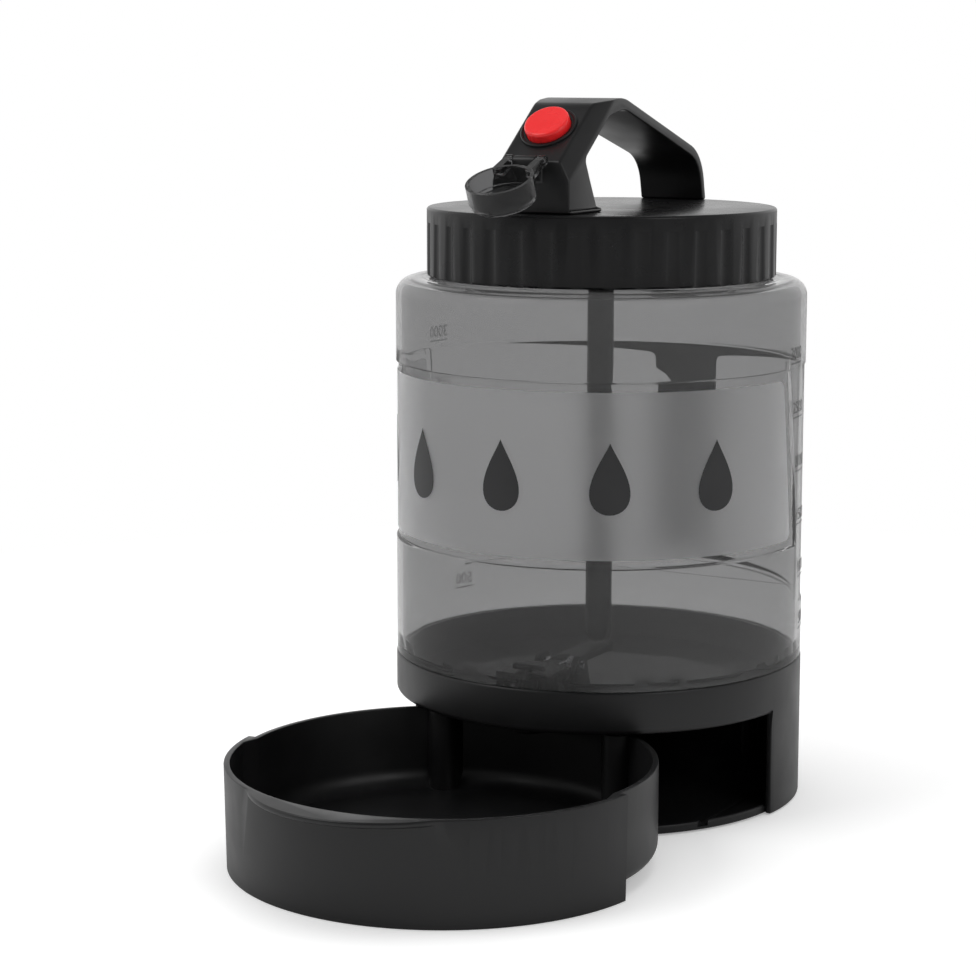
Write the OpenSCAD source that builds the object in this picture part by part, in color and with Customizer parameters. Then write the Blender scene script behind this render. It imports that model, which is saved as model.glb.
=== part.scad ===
// Travel water bottle for dogs: a clear jar on a round base, a bowl that slides out of the base,
// and a press button in the carry handle that opens a valve in the jar's floor through a long rod.
// The front is -Y, +Z is up, and the origin is the centre of the base on the surface it stands on.
// The parts are drawn with the bowl pulled out and the button's dust cover hanging open.

/* [Base] */
// Outer radius of the base
base_r = 81.2; // [74:0.2:90]
// Thickness of the base's side wall
base_wall = 2.4; // [2.2:0.1:3.4]
// Height of the base band's top edge
band_top = 56.8; // [54:0.2:62]
// Height of the bay that the bowl slides into
bay_h = 40.3; // [38:0.1:44]
// Half of the bay's opening, in degrees from the front
bay_half = 83.4; // [80:0.2:88]
// Radius of the band's lower edge over the bay
band_round = 2; // [0.6:0.1:2.2]
// Thickness of the deck between the bay and the jar
deck_t = 2.1; // [1.8:0.1:3]
// Thickness of the base's floor plate
floor_t = 2; // [1.8:0.1:3]
// Height of the floor plate's front lip
lip_h = 4; // [3.8:0.1:5.4]
// Thickness of the floor plate's front lip
lip_t = 1.8; // [1.4:0.1:2.4]
// Clearance of the floor plate inside the base wall
plate_gap = 0.1; // [0.05:0.05:0.3]
// Clearance under the floor plate
ground_gap = 0.8; // [0.6:0.1:1.2]
// Radius of the rear screw posts
post_r = 3.4; // [2.8:0.1:3.8]
// Angle of the rear screw posts from the rear
post_angle = 31.2; // [25:0.2:36]
// Distance of the rear screw posts from the inside of the side wall
post_inset = 4.8; // [4.4:0.1:8]
// Radius of the screw holes in plastic bosses
pilot_r = 1.3; // [1:0.05:1.5]
// Radius of the clearance holes for screws
screw_hole_r = 1.7; // [1.6:0.05:1.9]
// Radius of a rubber foot
foot_r = 6; // [4:0.5:8]
// Distance of the rubber feet from the inside of the side wall
foot_inset = 16.8; // [12:0.2:24]
// Height of a rubber foot
foot_h = 1.6; // [1.4:0.1:2]

/* [Bowl] */
// Distance of the outlet from the rear of the open bowl
outlet_room = 14.6; // [12:0.1:20]
// Clearance of the bowl's round wall inside the base's side wall
bowl_gap = 0.9; // [0.8:0.1:3]
// Thickness of the bowl's round wall
bowl_wall = 2.3; // [1.8:0.1:2.8]
// Radius of the bowl's rounded bottom edge
bowl_round = 5; // [3:0.5:8]
// Radius of the rounded edge of the bowl's floor on the inside
bowl_inner_round = 8; // [3:0.5:10]
// Thickness of the bowl's floor
bowl_floor = 2.4; // [1.8:0.1:3]
// Clearance between the bowl's floor and the base's lip
bowl_lift = 0.3; // [0.3:0.1:0.8]
// Clearance between the bowl's rim and the top of the bay
rim_gap = 1.5; // [0.6:0.1:2]
// Setback of the bowl's curved front from the base's side, at its top edge
front_set = 0.5; // [0:0.1:1]
// Further setback of the curved front at its lower edge
front_draft = 0.6; // [0:0.1:1]
// Thickness of the bowl's curved front
front_t = 2.25; // [1.8:0.05:2.8]
// Thickness of the curved front below the bowl's floor
apron_t = 1.7; // [1.4:0.1:2]
// Clearance under the bowl's curved front
apron_gap = 0.2; // [0.2:0.1:1]
// Half angle of the bowl's curved front
front_half = 82.5; // [79:0.1:86.4]
// Radius of the pull lip's outer edge
pull_r = 49.5; // [47:0.5:54]
// Distance of the pull lip's centre in front of the bowl's centre
pull_fwd = 40; // [38:0.5:42]
// Thickness of the pull lip's outer edge
pull_edge = 1.2; // [1:0.1:2]
// Depth of the pull lip's rounded underside
pull_depth = 3.4; // [2.6:0.2:8]
// Clearance of the bowl's notches around the screw posts
notch_gap = 0.6; // [0.4:0.1:1]
// Wall thickness around the bowl's notches
notch_wall = 2; // [1.6:0.1:2.4]

/* [Jar] */
// Setback of the jar's side from the base's side
jar_set = 0.2; // [0:0.1:1]
// Thickness of the jar's wall
jar_wall = 2.2; // [1.8:0.1:2.8]
// Thickness of the jar's floor
jar_floor = 2.6; // [2.2:0.1:3.4]
// Clearance of the jar's foot inside the base band
jar_gap = 0.2; // [0.1:0.05:0.3]
// Height of the lower edge of the label recess
recess_lo = 103.5; // [95:0.5:110]
// Height of the upper edge of the label recess
recess_hi = 173; // [165:0.5:180]
// Depth of the recesses for the label and the grip
recess_d = 0.9; // [0.6:0.1:1.2]
// Distance of the label recess's upper corners behind the axis
recess_end_hi = 0.8; // [-4:0.1:6]
// Distance of the label recess's lower corners behind the axis
recess_end_lo = 11.2; // [4:0.1:16]
// Height of the lower edge of the rear recess
rear_lo = 79; // [70:0.5:90]
// Height of the upper edge of the rear recess
rear_hi = 173; // [150:0.5:178]
// Half angle of the rear recess
rear_half = 73; // [60:1:76]
// Height of the jar's shoulder
shoulder_z = 205.8; // [198:0.2:215]
// Radius of the shoulder's round edge
shoulder_r = 6.5; // [4:0.5:9]
// Setback of the jar's neck from the jar's side
neck_set = 17.4; // [15:0.2:22]
// Thickness of the neck
neck_t = 2.6; // [2.2:0.1:3]
// Overhang of the bead below the lid
bead_out = 0.7; // [0:0.1:1.2]
// Thickness of the glue under the label film and the grip strip
glue_t = 0.03; // [0.02:0.01:0.1]
// Thickness of the label film
label_t = 0.4; // [0.2:0.1:0.7]
// Margin between the label film and the recess edges
label_margin = 3.4; // [2:0.2:6]
// Width of the rear grip strip
grip_w = 28; // [20:1:40]
// Thickness of the rear grip strip
grip_t = 1.5; // [1:0.1:2]
// Margin between the grip strip and the rear recess's edges
grip_margin = 1.4; // [1:0.1:4]

/* [Lid] */
// Gap between the neck and the lid's skirt
skirt_gap = 2.6; // [2.4:0.1:4]
// Height of the lid's skirt
lid_h = 27; // [25.5:0.1:29]
// Gap between the jar's shoulder and the lid
lid_gap = 0.6; // [0.4:0.1:1]
// Thickness of the lid's top plate
lid_t = 2.6; // [2.4:0.1:3]
// Thickness of the lid's skirt
skirt_t = 2.5; // [2.2:0.1:3]
// Number of grip flutes round the skirt
flutes = 36; // [24:1:48]
// Radius of a grip flute
flute_r = 6; // [5:0.5:7]
// Depth of a grip flute
flute_d = 0.8; // [0.4:0.1:1]
// Height of the plain band above the flutes
flute_top = 5.8; // [4:0.2:8]
// Pitch of the screw thread
pitch = 5; // [4:0.5:6]
// Turns of thread on the neck and in the lid
thread_turns = 1.5; // [1:0.25:1.75]
// Clearance between the neck's and the lid's thread
thread_gap = 0.3; // [0.2:0.05:0.4]
// Depth of the thread
thread_d = 1.6; // [1.2:0.1:1.8]
// Thickness of the lid gasket
gasket_t = 1.7; // [1.2:0.1:2.2]
// Thickness of the liner pan's flange and floor
liner_t = 1.8; // [1.4:0.1:2.2]
// Clearance of the liner pan inside the neck
liner_gap = 0.4; // [0.3:0.1:0.8]
// Depth of the liner pan below the lid's plate
liner_depth = 24.8; // [23:0.2:26]

/* [Handle] */
// Half width of the handle at the button
handle_w = 16.5; // [16:0.5:18]
// Half width of the handle at its rear foot
handle_w_rear = 14; // [12:0.5:16]
// Setback of the handle's front face from the lid's edge
front_inset = 10.2; // [9:0.1:12]
// Depth of the handle's front leg at its foot
leg_d = 23.5; // [22:0.5:26]
// Height of the front face above the lid
front_h = 19.6; // [18.6:0.2:21]
// Slope of the button panel
panel_angle = 38.4; // [36:0.2:41]
// Setback of the handle's rear foot from the lid's edge
rear_inset = 2; // [1:0.1:4]
// Half width of the rear foot's tongue
tongue_w = 8; // [5:0.5:10]
// Thickness of the handle strap
strap_t = 3.4; // [3:0.1:4.4]
// Slope of the handle strap towards the rear
strap_angle = 17.4; // [15:0.2:19]
// Height of the strap's corner above the lid at the crest
crest_h = 42.8; // [41:0.2:45]
// Distance of the crest corner in front of the axis
crest_y = 12.5; // [10:0.5:14]
// Depth of the panel's sides, measured square to the panel
panel_t = 7.9; // [7:0.1:9]
// Width of the chamfer beside the panel
chamfer_w = 4; // [3:0.2:5]
// Depth of the chamfer beside the panel
chamfer_d = 5.9; // [5:0.1:6.4]

/* [Button] */
// Distance of the button's axis up the panel from its lower edge
button_up = 18.8; // [18:0.1:20]
// Radius of the button
button_r = 8.8; // [8:0.1:9]
// Height of the button above the panel
button_h = 4; // [3.6:0.1:4.6]
// Travel of the button
button_travel = 3; // [2.6:0.1:3]
// Clearance round the button
button_gap = 0.25; // [0.15:0.05:0.4]
// Outer radius of the bezel round the button
bezel_r = 11.1; // [10.8:0.1:11.2]
// Height of the bezel above the panel
bezel_h = 0.9; // [0.5:0.1:1.2]
// Radius of the button's stem
stem_r = 3; // [2.6:0.1:3.4]
// Sliding clearance of rods in their guides
slide_gap = 0.07; // [0.04:0.01:0.1]
// Running clearance of pivots on their pins
pivot_gap = 0.05; // [0.03:0.01:0.09]
// Gap between parts that push each other
push_gap = 0.3; // [0.2:0.05:0.4]
// Outer radius of the dust cover
cover_r = 12.9; // [12.7:0.1:13.4]
// Thickness of the dust cover's wall
cover_t = 1.5; // [1.2:0.1:1.6]
// Depth of the dust cover
cover_h = 9.6; // [9:0.1:11]
// Distance of the cover's hinge from the button's axis
cover_reach = 20.95; // [20.5:0.05:21.5]
// Height of the cover's hinge above the panel
cover_up = 2.3; // [2.1:0.1:2.6]
// Angle that the cover opens to
cover_open = 164.9; // [150:0.1:166]
// Radius of the cover's hinge pin
cover_pin_r = 1; // [0.8:0.1:1.2]

/* [Linkage] */
// Radius of the push rod
rod_r = 5.2; // [4.6:0.1:5.6]
// Height of the push rod's foot above the jar's floor
rod_foot = 13.3; // [13:0.1:14]
// Radius of the pivot pins
pin_r = 1.5; // [1.2:0.1:1.8]
// Distance of the lid lever's pivot behind the handle's front face
crank_set = 6.5; // [6:0.1:7]
// Height of the lid lever's pivot above the lid
crank_z = 4.6; // [4.4:0.1:4.8]
// Radius of the lid lever's nose above the rod
nose_r = 3; // [2.5:0.1:3.2]
// Gap between the lid's plate and the top of the rod's head
head_drop = 8.1; // [8:0.1:8.6]
// Distance of the outlet from the side of the jar's foot
outlet_inset = 20.6; // [20:0.1:24]
// Radius of the outlet's bore
outlet_r = 5; // [4.5:0.1:5.5]
// Length of the valve lever between the outlet and its pivot
valve_arm = 26; // [24:0.2:28]
// Half thickness of the valve lever
valve_lever_h = 1.5; // [1.2:0.1:1.6]

/* [Hidden] */
$fn = 96;
// Overlap of cutting tools past the faces that they cut
cut = 1;
big = 400;

base_ri = base_r - base_wall;
post_pcr = base_ri - post_inset;
post_x = post_pcr * sin(post_angle);
post_y = post_pcr * cos(post_angle);
base_screw_l = 11.5;
deck_top = bay_h + deck_t;
plate_r = base_ri - plate_gap;
plate_top = ground_gap + floor_t;
lip_ri = plate_r - lip_t;
foot_pcr = base_ri - foot_inset;
bowl_bottom = lip_h + bowl_lift;
bowl_ro = base_ri - bowl_gap;
bowl_ri = bowl_ro - bowl_wall;
bowl_in = bowl_bottom + bowl_floor;
ramp_half = 5;
rim_z = bay_h - rim_gap;
front_r = base_r - front_set;
front_ri = front_r - front_t;
rail_x = base_ri - 12.1;
rail_w = 2.6;
rail_gap = 0.2;
rail_reach = sqrt(pow(bowl_ro, 2) - pow(rail_x + rail_w / 2, 2));
rail_front = rail_reach - 4;
rail_rear = rail_reach - 10;
groove_z = plate_top - 1;
stop_x = 20;
stop_w = 4;

floor_z = deck_top + jar_floor;
jar_foot_r = base_ri - jar_gap;
jar_r = base_r - jar_set;
neck_r = jar_r - neck_set;
neck_ri = neck_r - neck_t;
label_r = jar_r - recess_d;
film_r = label_r + glue_t;

lid_z = shoulder_z + lid_gap;
lid_top = lid_z + lid_h;
lid_ceiling = lid_top - lid_t;
skirt_ri = neck_r + skirt_gap;
lid_r = skirt_ri + skirt_t;
bead_r = lid_r + bead_out;
liner_r = neck_ri - liner_gap;
liner_ri = liner_r - 1.6;
liner_floor = lid_ceiling - liner_depth;
liner_top = liner_floor + liner_t;
liner_flange = lid_ceiling - liner_t;
neck_top = liner_flange - gasket_t;
liner_post_r = 3.2;
liner_post = (liner_ri - 9.8) * [cos(24), sin(24)];
liner_screw_l = 9;

front_y = lid_r - front_inset;
rear_y = lid_r - rear_inset;
leg_y = -front_y + leg_d;
cavity_y = leg_y + 4.3;
foot_d = 1.6;
handle_screw_l = 8.5;
claw_y = rear_y - strap_t / 2;
claw_t = 2;
panel_z = lid_top + front_h;
corner_r = 1.6;
button_y = -front_y + button_up * cos(panel_angle);
button_z = panel_z + button_up * sin(panel_angle);
bezel_t = 3;
button_flange = 1.2;
well_r = button_r + 1.2;
well_gap = 0.05;
guide_n = 7.5;
guide_t = 1.5;
stem_n = 10.5;
hinge_y = button_y - cover_reach * cos(panel_angle) - cover_up * sin(panel_angle);
hinge_z = button_z - cover_reach * sin(panel_angle) + cover_up * cos(panel_angle);
hinge_r = 2.2;
lug_w = 5;
arm_gap = 0.3;
arm_w = 3;
mouth_n = 0.3;

head_top = lid_ceiling - head_drop;
head_t = 3;
head_r = 9;
boss_h = 3.2;
boss_r = 6.9;
crank_y = front_y - crank_set;
crank_pivot = [-crank_y, lid_top + crank_z];
nose_z = head_top + push_gap + nose_r;
foot_z = floor_z + rod_foot;

outlet_y = jar_foot_r - outlet_inset;
bowl_travel = bowl_ro + outlet_y - outlet_room;
valve_pivot_y = outlet_y - valve_arm;
valve_pivot_z = foot_z - push_gap - valve_lever_h;
plate_z = floor_z + 1.2;
flange_r = 13;
valve_plate_t = 2;
seat_z = plate_z + valve_plate_t;
plug_r = 7;
bar_r = 1.2;
valve_stem_r = 1.5;
cheek_x = 7;
cheek_t = 2.4;
nut_r = 8.6;
nut_t = 4.4;

// Points of an arc, from angle a to angle b about a centre
function arc(c, r, a, b, n = 8) = [for (i = [0:n])
    let (q = a + (b - a) * i / n) c + r * [cos(q), sin(q)]];

// Outline through corners [y, z, radius], with each corner rounded by its radius
function unit(v) = v / norm(v);
function rounded(p, n = 8) = [for (i = [0:len(p) - 1]) each round_corner(
    [p[(i + len(p) - 1) % len(p)].x, p[(i + len(p) - 1) % len(p)].y], [p[i].x, p[i].y],
    [p[(i + 1) % len(p)].x, p[(i + 1) % len(p)].y], p[i].z, n)];
function round_corner(a, b, c, r, n) = r == 0 ? [b] :
    let (u = unit(a - b), v = unit(c - b), half = acos(u * v) / 2, m = unit(u + v),
         o = b + m * r / sin(half), s = o - u_foot(o, b, u), e = o - u_foot(o, b, v),
         a0 = atan2(-s.y, -s.x), a1 = atan2(-e.y, -e.x), d = (a1 - a0 + 540) % 360 - 180)
    [for (i = [0:n]) o + r * [cos(a0 + d * i / n), sin(a0 + d * i / n)]];
function u_foot(o, b, u) = b + u * ((o - b) * u);

// A slab whose YZ outline is given, from -x to +x
module slab(points, w) {
    rotate([90, 0, 90]) translate([0, 0, -w]) linear_extrude(2 * w) polygon(points);
}

// A solid of revolution from [radius, height] points
module lathe(points, a = 360) {
    rotate_extrude(angle = a) polygon(points);
}

// A ring between two radii
module ring(ri, ro, z0, z1) {
    difference() {
        translate([0, 0, z0]) cylinder(r = ro, h = z1 - z0);
        translate([0, 0, z0 - cut]) cylinder(r = ri, h = z1 - z0 + 2 * cut);
    }
}

// A sector of a given half angle about the front, or about the rear when back is 180
module sector(half, z0, z1, back = 0) {
    rotate([0, 0, -90 + back]) translate([0, 0, z0]) linear_extrude(z1 - z0)
        polygon(concat([[0, 0]], arc([0, 0], big, -half, half, 12)));
}

// A bar along X through a point of the YZ plane
module pin_x(y, z, r, w) {
    translate([-w, y, z]) rotate([0, 90, 0]) cylinder(r = r, h = 2 * w);
}

// A tube of round wire wound into a helix with closed ends
module coil(r, wire, turns, h, seg = 20, start = 0) {
    n = round(turns * seg);
    k = 8;
    pts = [for (i = [0:n]) for (j = [0:k - 1])
        let (a = start + i * 360 / seg, q = j * 360 / k, rr = r + wire * cos(q))
        [rr * cos(a), rr * sin(a), wire + (h - 2 * wire) * i / n + wire * sin(q)]];
    sides = [for (i = [0:n - 1]) for (j = [0:k - 1])
        [i * k + j, i * k + (j + 1) % k, (i + 1) * k + (j + 1) % k, (i + 1) * k + j]];
    polyhedron(pts, concat([[for (j = [k - 1:-1:0]) j]], sides, [[for (j = [0:k - 1]) n * k + j]]));
}

// A helical thread ridge: base at radius rb, crest at radius rc, both sides tapered at the ends
module thread(rb, rc, z0, start, seg = 60) {
    n = round(thread_turns * seg);
    wb = (pitch / 2 - thread_gap) / 2;
    wc = wb * 0.55;
    pts = [for (i = [0:n])
        let (a = start + i * 360 / seg, z = z0 + pitch * i / seg, f = min(1, i / 5, (n - i) / 5),
             c = rb + (rc - rb) * (0.05 + 0.95 * f))
        each [for (q = [[rb, -wb], [c, -wc], [c, wc], [rb, wb]]) [q.x * cos(a), q.x * sin(a), z + q.y]]];
    sides = [for (i = [0:n - 1]) for (j = [0:3])
        [i * 4 + j, (i + 1) * 4 + j, (i + 1) * 4 + (j + 1) % 4, i * 4 + (j + 1) % 4]];
    faces = concat(sides, [[0, 1, 2, 3]], [[n * 4 + 3, n * 4 + 2, n * 4 + 1, n * 4]]);
    polyhedron(pts, rc > rb ? [for (f = faces) [for (k = [len(f) - 1:-1:0]) f[k]]] : faces);
}

// Places its children on the button panel: X across, Y up the panel, Z out of the panel
module on_panel() {
    translate([0, button_y, button_z]) rotate([panel_angle, 0, 0]) children();
}

// The band, the rear wall, the deck under the jar and the two screw posts of the base
module base_housing() {
    edge = 0.6;
    color([0.06, 0.06, 0.065]) difference() {
        union() {
            lathe([[base_ri, ground_gap / 2], [base_r, ground_gap / 2], [base_r, band_top - edge],
                [base_r - edge, band_top], [base_ri, band_top]]);
            translate([0, 0, bay_h]) cylinder(r = base_ri + 0.1, h = deck_t);
            for (s = [-1, 1]) translate([s * post_x, post_y, plate_top]) {
                cylinder(r = post_r, h = bay_h - plate_top + 0.1);
                rotate([0, 0, -s * post_angle]) translate([-1, 0, 0])
                    cube([2, base_ri - post_pcr + 0.4, bay_h - plate_top + 0.1]);
            }
        }
        // the bay's opening, with a round edge on the band above it
        intersection() {
            lathe(concat([[base_ri - cut, -cut], [base_r + cut, -cut], [base_r + cut, bay_h + band_round]],
                arc([base_r - band_round, bay_h + band_round], band_round, 0, -90),
                [[base_ri - cut, bay_h]]));
            sector(bay_half, -cut, band_top);
        }
        for (s = [-1, 1]) translate([s * post_x, post_y, plate_top - cut])
            cylinder(r = pilot_r, h = base_screw_l + 0.5 + cut);
        translate([0, -outlet_y, bay_h - cut]) cylinder(r = outlet_r + 1.9, h = deck_t + 2 * cut);
    }
}

// The floor plate of the base, with a front lip that stops the bowl and guides its two runners
module base_floor() {
    color([0.05, 0.05, 0.055]) difference() {
        union() {
            translate([0, 0, ground_gap]) cylinder(r = plate_r, h = floor_t);
            intersection() {
                lathe(concat([[lip_ri, ground_gap], [plate_r, ground_gap]],
                    arc([plate_r - lip_t / 2, lip_h - lip_t / 2], lip_t / 2, 0, 180)));
                sector(bay_half - 0.6, 0, lip_h + cut);
            }
        }
        for (s = [-1, 1]) translate([s * rail_x - rail_w / 2, -base_r, groove_z])
            cube([rail_w, base_r + rail_rear + 8, lip_h]);
        for (s = [-1, 1]) translate([s * post_x, post_y, 0]) {
            cylinder(r = screw_hole_r, h = lip_h);
            translate([0, 0, ground_gap - cut]) cylinder(r = 3.1, h = cut + 1.1);
        }
        for (p = foot_places()) translate([p.x, p.y, 0]) cylinder(r = foot_r + 0.1, h = foot_h);
    }
}

// The two screws that hold the floor plate to the posts
module base_screws() {
    color([0.7, 0.7, 0.72]) for (s = [-1, 1]) translate([s * post_x, post_y, ground_gap]) {
        screw(2.9, 1.1, pilot_r, base_screw_l);
    }
}

// A pan-head screw that points up, with a cross recess in its head
module screw(rh, h, r, len) {
    difference() {
        union() {
            cylinder(r = rh, h = h);
            cylinder(r = r, h = h + len);
        }
        for (a = [0, 90]) rotate(a) translate([-rh * 0.6, -0.3, -cut]) cube([rh * 1.2, 0.6, cut + h * 0.6]);
    }
}

// Places of the rubber feet: one in the middle and four round it
function foot_places() = concat([[0, 0]], [for (a = [45:90:315]) foot_pcr * [cos(a), sin(a)]]);

// Five rubber feet under the floor plate
module rubber_feet() {
    color([0.12, 0.12, 0.12]) for (p = foot_places()) translate([p.x, p.y, 0])
        lathe([[0, 0.3], [1, 0], [foot_r - 0.8, 0], [foot_r, 0.6], [foot_r, foot_h], [0, foot_h]]);
}

// A round pan from the axis to a wall radius, rounded at its bottom edge
module pan(r, round_r, z0, z1) {
    lathe(concat([[0, z0]], arc([r - round_r, z0 + round_r], round_r, -90, 0), [[r, z1], [0, z1]]));
}

// The room that a rear screw post takes as the bowl slides past it, widened by a margin
module post_room(margin, z0, z1) {
    w = post_r + notch_gap + margin;
    for (s = [-1, 1]) translate([s * post_x, post_y, z0]) {
        cylinder(r = w, h = z1 - z0);
        translate([-w, 0, 0]) cube([2 * w, base_r, z1 - z0]);
    }
}

// The closed bowl: a round tub, a curved front that closes the bay, and a pull lip
module bowl_closed() {
    r0 = front_r - pull_fwd;
    difference() {
        union() {
            pan(bowl_ro, bowl_round, bowl_bottom, rim_z);
            intersection() {
                lathe([[0, bowl_bottom], [front_r - apron_t, bowl_bottom], [front_r - apron_t, apron_gap],
                    [front_r - front_draft, apron_gap], [front_r, rim_z], [0, rim_z]]);
                sector(front_half, 0, rim_z + cut);
            }
            translate([0, -pull_fwd, 0]) lathe(concat(
                [[0, rim_z - pull_edge], [r0 - 1, rim_z - pull_depth]],
                [for (i = [0:8]) [r0 + (pull_r - r0) * sin(i * 11.25),
                    rim_z - pull_edge - (pull_depth - pull_edge) * cos(i * 11.25)]],
                [[pull_r, rim_z - 0.3], [pull_r - 0.3, rim_z], [0, rim_z]]));
            for (s = [-1, 1]) translate([s * rail_x - rail_w / 2 + rail_gap, -rail_front, groove_z + rail_gap])
                cube([rail_w - 2 * rail_gap, rail_front + rail_rear, bowl_bottom + 1 - groove_z]);
            for (s = [-1, 1]) translate([s * stop_x - stop_w, stop_front(), plate_top + 0.2])
                cube([2 * stop_w, 3, bowl_bottom + 0.4 - plate_top]);
        }
        // the inside, with a ramp at both ends of the curved front
        difference() {
            union() {
                pan(bowl_ri, bowl_inner_round, bowl_in, rim_z + cut);
                intersection() {
                    pan(front_ri, bowl_inner_round, bowl_in, rim_z + cut);
                    ramped_sector();
                }
            }
            post_room(notch_wall, 0, rim_z + 2 * cut);
        }
        post_room(0, -cut, rim_z + cut);
    }
}

// The sector of the bowl's curved front, with ends that ramp down to the round wall inside
module ramped_sector() {
    a = front_half - asin(front_t / front_ri);
    b = a - ramp_half;
    inner = bowl_ri * [cos(a), sin(a)];
    outer = front_ri * [cos(b), sin(b)];
    run = (outer - inner) / 2;
    side = [outer + run, inner - run];
    rotate([0, 0, -90]) linear_extrude(rim_z + 2 * cut)
        polygon(concat([[0, 0], [side[1].x, -side[1].y], [side[0].x, -side[0].y]],
            arc([0, 0], big, 3 - b, b - 3, 12), side));
}

// Place of the bowl's stop nubs, which meet the inside of the lip when the bowl is open
function stop_front() = bowl_travel - sqrt(pow(lip_ri, 2) - pow(stop_x + stop_w, 2)) + 0.3;

// The bowl as drawn, pulled out to the front
module bowl() {
    color([0.06, 0.06, 0.065]) translate([0, -bowl_travel, 0]) bowl_closed();
}

// A shallow recess round the jar, with slanted edges
module recess(z0, z1) {
    lathe([[label_r, z0 + recess_d / 2], [label_r + 2 * recess_d, z0 - 3 * recess_d / 2],
        [label_r + 2 * recess_d, z1 + 3 * recess_d / 2], [label_r, z1 - recess_d / 2]]);
}

// The space in front of the label recess's slanted ends, less a margin
module label_side(margin, z0, z1) {
    slope = (recess_end_hi - recess_end_lo) / (recess_hi - recess_lo);
    slab([[-big, z0], [recess_end_lo - margin + (z0 - recess_lo) * slope, z0],
        [recess_end_lo - margin + (z1 - recess_lo) * slope, z1], [-big, z1]], big);
}

// The clear jar: foot inside the band, body with two recesses, shoulder and threaded neck
module bottle() {
    sr = jar_r - shoulder_r;
    sz = shoulder_z - shoulder_r;
    ri = jar_r - jar_wall;
    low = min(recess_lo, rear_lo);
    top = max(recess_hi, rear_hi);
    color([0.42, 0.42, 0.43, 0.45]) difference() {
        union() {
            lathe(concat(
                [[0, deck_top], [jar_foot_r - 1.5, deck_top], [jar_foot_r, deck_top + 1.5],
                    [jar_foot_r, band_top], [jar_r - 0.5, band_top], [jar_r, band_top + 0.5]],
                arc([sr, sz], shoulder_r, 0, 90),
                [[bead_r + 1.6, shoulder_z], [bead_r + 0.6, shoulder_z - 0.4], [bead_r, shoulder_z - 0.4],
                    [bead_r - 0.4, shoulder_z], [neck_r + 1, shoulder_z], [neck_r, shoulder_z + 1],
                    [neck_r, neck_top - 0.4], [neck_r - 0.4, neck_top], [neck_ri + 0.4, neck_top],
                    [neck_ri, neck_top - 0.4], [neck_ri, shoulder_z - jar_wall + 1],
                    [neck_ri + 1, shoulder_z - jar_wall]],
                arc([sr, sz], shoulder_r - jar_wall, 90, 0),
                [[ri, top + 1.6], [label_r - jar_wall, top],
                    [label_r - jar_wall, low], [ri, low - 1.6],
                    [ri, band_top + jar_wall + 2], [jar_foot_r - jar_wall, band_top + jar_wall - 1],
                    [jar_foot_r - jar_wall, floor_z + 3], [jar_foot_r - jar_wall - 3, floor_z],
                    [0, floor_z]]));
            thread(neck_r - 0.3, neck_r + thread_d, shoulder_z + 6, 0);
        }
        intersection() {
            recess(recess_lo, recess_hi);
            label_side(0, recess_lo - 4 * recess_d, recess_hi + 4 * recess_d);
        }
        intersection() {
            recess(rear_lo, rear_hi);
            sector(rear_half, rear_lo - 4 * recess_d, rear_hi + 4 * recess_d, 180);
        }
        translate([0, -outlet_y, deck_top - cut]) cylinder(r = outlet_r + 1.9, h = jar_floor + 2 * cut);
    }
}

// The frosted label film round the front of the jar
module label_panel() {
    z0 = recess_lo + label_margin;
    z1 = recess_hi - label_margin;
    color([0.5, 0.5, 0.51, 0.8]) intersection() {
        ring(film_r, film_r + label_t, z0, z1);
        label_side(label_margin, z0 - cut, z1 + cut);
    }
}

// The rubber grip strip on the rear of the jar
module rear_grip() {
    half = asin(grip_w / 2 / label_r);
    z0 = rear_lo + grip_margin;
    z1 = rear_hi - grip_margin;
    color([0.1, 0.1, 0.1]) rotate([0, 0, 90 - half])
        lathe([[film_r, z0], [film_r + grip_t - 0.5, z0], [film_r + grip_t, z0 + 0.5],
            [film_r + grip_t, z1 - 0.5], [film_r + grip_t - 0.5, z1], [film_r, z1]], 2 * half);
}

// The outlet's flanged tube and valve seat, with the lever's two cheeks on its rear plate
module outlet_body() {
    color([0.08, 0.08, 0.085]) difference() {
        union() {
            translate([0, -outlet_y, 0]) {
                lathe([[0, bay_h - nut_t - 1.4], [outlet_r + 1, bay_h - nut_t - 1.4],
                    [outlet_r + 1.8, bay_h - nut_t - 0.6], [outlet_r + 1.8, plate_z],
                    [flange_r, plate_z], [flange_r, seat_z], [0, seat_z]]);
            }
            translate([-cheek_x - cheek_t, -outlet_y + 6, plate_z])
                cube([2 * (cheek_x + cheek_t), outlet_y - 6 - valve_pivot_y + 7, valve_plate_t]);
            for (s = [-1, 1]) translate([s * (cheek_x + cheek_t / 2), 0, 0]) slab(rounded([
                [-valve_pivot_y - 7, seat_z - 0.1, 0], [-valve_pivot_y + 7, seat_z - 0.1, 0],
                [-valve_pivot_y + 3.2, valve_pivot_z + 3.4, 3],
                [-valve_pivot_y - 3.2, valve_pivot_z + 3.4, 3]]), cheek_t / 2);
            translate([-cheek_x, -valve_pivot_y + 2, floor_z])
                cube([2 * cheek_x, 4, plate_z - floor_z + 0.1]);
        }
        translate([0, -outlet_y, bay_h - nut_t - 3]) difference() {
            cylinder(r = outlet_r, h = 30);
            for (a = [0, 120, 240]) rotate(a) translate([0, -0.6, 1]) cube([outlet_r + 1, 1.2, 5]);
            translate([0, 0, 1]) cylinder(r = valve_stem_r + 1.1, h = 5);
        }
        translate([0, -outlet_y, bay_h - nut_t - 3]) cylinder(r = valve_stem_r + slide_gap, h = 30);
        pin_x(-valve_pivot_y, valve_pivot_z, pin_r, 20);
    }
}

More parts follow.
